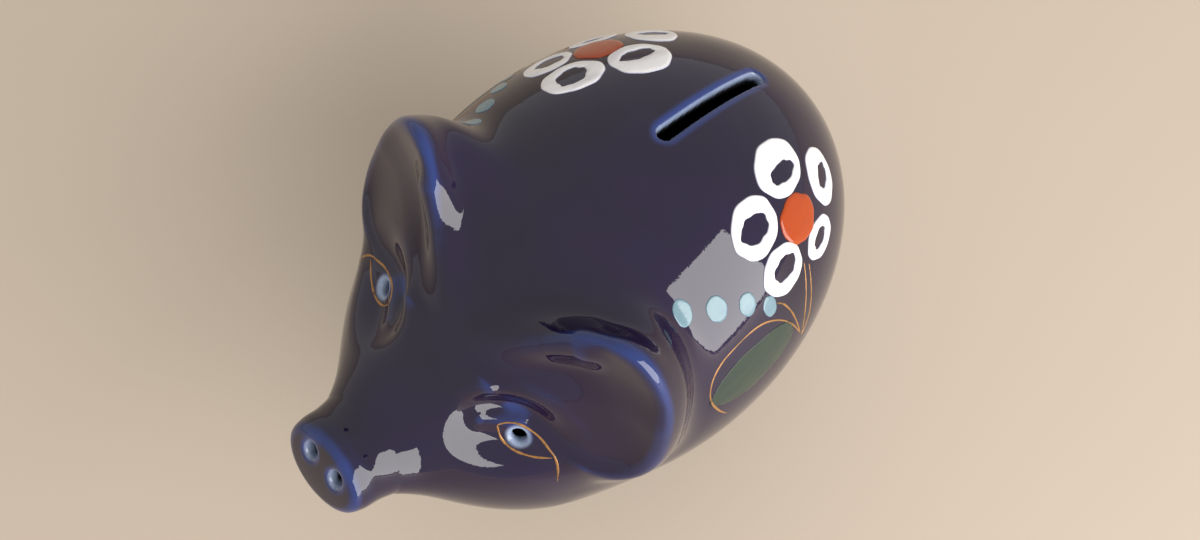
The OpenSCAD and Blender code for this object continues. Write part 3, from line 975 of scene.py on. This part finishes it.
class PIG_OT_tail(bpy.types.Operator):
    """Small curled tail on the rump"""

    bl_idname = "pig.tail"
    bl_label = "Tail"

    def execute(self, context):
        low, high = (np.array(c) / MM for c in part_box("tail"))
        centre = (low + high) / 2
        along, around, curl = 90, 24, 400
        t = np.linspace(0, 1, along)
        a = np.radians(curl * t - 90)
        r = 6.5 * (1 - 0.45 * t)
        mid = np.stack([r * np.cos(a), 3.4 * t, r * np.sin(a)], -1)
        lean = np.radians(-18)
        turn = np.array([[1, 0, 0], [0, np.cos(lean), -np.sin(lean)], [0, np.sin(lean), np.cos(lean)]])
        mid = mid @ turn.T
        mid += centre - (mid.min(0) + mid.max(0)) / 2
        ahead = np.gradient(mid, axis=0)
        ahead /= np.linalg.norm(ahead, axis=1)[:, None]
        side = np.cross(ahead, turn @ np.array([0, 1, 0]))
        side /= np.linalg.norm(side, axis=1)[:, None]
        over = np.cross(ahead, side)
        thick = 3.0 * (1 - 0.55 * t) * np.sqrt(np.clip(1 - t ** 14, 0.0, 1))
        thick = np.maximum(thick, 0.05)
        angles = np.linspace(0, 2 * np.pi, around, endpoint=False)
        points = np.concatenate([
            mid[i] + thick[i] * (np.outer(np.cos(angles), side[i]) + np.outer(np.sin(angles), over[i]))
            for i in range(along)])
        faces = woven_faces(along, around)
        faces.append(tuple(range(around)))
        faces.append(tuple(reversed(range((along - 1) * around, along * around))))
        piece = add_mesh("curled_tail", points, faces)
        set_values(piece, "ridge", np.full(len(points), 0.14))
        set_values(piece, "bare", np.zeros(len(points)))
        set_values(piece, "inside", np.zeros(len(points)))
        finish_piece(piece, PIG, cobalt_glaze(context.scene.pig_paint), ("tail",))
        return {"FINISHED"}


class PIG_OT_stopper(bpy.types.Operator):
    """Soft stopper in the belly hole, with moulded rings and a hollow underside"""

    bl_idname = "pig.stopper"
    bl_label = "Stopper"

    def execute(self, context):
        low, high = (np.array(c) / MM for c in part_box("stopper"))
        centre = (low + high) / 2
        flange = (high[0] - low[0]) / 2
        plug = BELLY_HOLE[1] - 0.1
        z = low[2]
        profile = [
            (0.001, z + 0.9), (flange * 0.30, z + 0.9), (flange * 0.34, z + 0.3), (flange * 0.40, z + 0.1),
            (flange * 0.80, z), (flange - 1.2, z), (flange - 0.35, z + 0.25), (flange, z + 0.9),
            (flange - 0.1, z + 1.7), (flange - 0.6, z + 2.0), (plug - 0.6, z + 2.0), (plug, z + 2.6),
            (plug, z + 4.2), (plug - 0.7, z + 4.9), (plug - 0.7, z + 6.1), (plug, z + 6.8),
            (plug, z + 9.6), (plug - 0.8, z + 12.2), (plug - 1.6, high[2] - 0.6), (plug - 2.2, high[2]),
            (plug - 3.2, high[2] - 0.1), (plug - 3.6, high[2] - 1.0), (plug - 3.8, z + 4.6),
            (plug - 4.8, z + 4.1), (0.001, z + 4.1),
        ]
        count = 96
        angles = np.linspace(0, 2 * np.pi, count, endpoint=False)
        circle = np.stack([np.cos(angles), np.sin(angles)], -1)
        points = np.concatenate([
            np.column_stack([centre[:2] + r * circle, np.full(count, h)]) for r, h in profile])
        faces = [tuple(reversed(f)) for f in woven_faces(len(profile), count)]
        faces.append(tuple(reversed(range(count))))
        faces.append(tuple(range((len(profile) - 1) * count, len(profile) * count)))
        piece = add_mesh("belly_stopper", points, faces)
        finish_piece(piece, STOPPER, soft_plastic(context.scene.pig_paint), ("stopper",))
        return {"FINISHED"}


class PIG_PT_panel(bpy.types.Panel):
    """Sizes, colours and pieces of the money box"""

    bl_idname = "PIG_PT_panel"
    bl_label = "Money Box"
    bl_space_type = "VIEW_3D"
    bl_region_type = "UI"
    bl_category = "Money Box"

    def draw(self, context):
        for group in (context.scene.pig_shape, context.scene.pig_paint, context.scene.pig_stage):
            box = self.layout.box()
            for name in group.__annotations__:
                box.prop(group, name)
        for operator in OPERATORS:
            self.layout.operator(operator.bl_idname)


GROUPS = {"pig_shape": PigShape, "pig_paint": PigPaint, "pig_stage": PigStage}
OPERATORS = (PIG_OT_stage, PIG_OT_clay, PIG_OT_tail, PIG_OT_enamel, PIG_OT_lines, PIG_OT_stopper)
CLASSES = (*GROUPS.values(), *OPERATORS, PIG_PT_panel)


def register():
    for cls in CLASSES:
        bpy.utils.register_class(cls)
    for name, group in GROUPS.items():
        setattr(bpy.types.Scene, name, PointerProperty(type=group))


def unregister():
    for name in GROUPS:
        delattr(bpy.types.Scene, name)
    for cls in reversed(CLASSES):
        bpy.utils.unregister_class(cls)


def main():
    register()
    for operator in ("stage", "clay", "tail", "enamel", "lines", "stopper"):
        getattr(bpy.ops.pig, operator)()


if __name__ == "__main__":
    main()
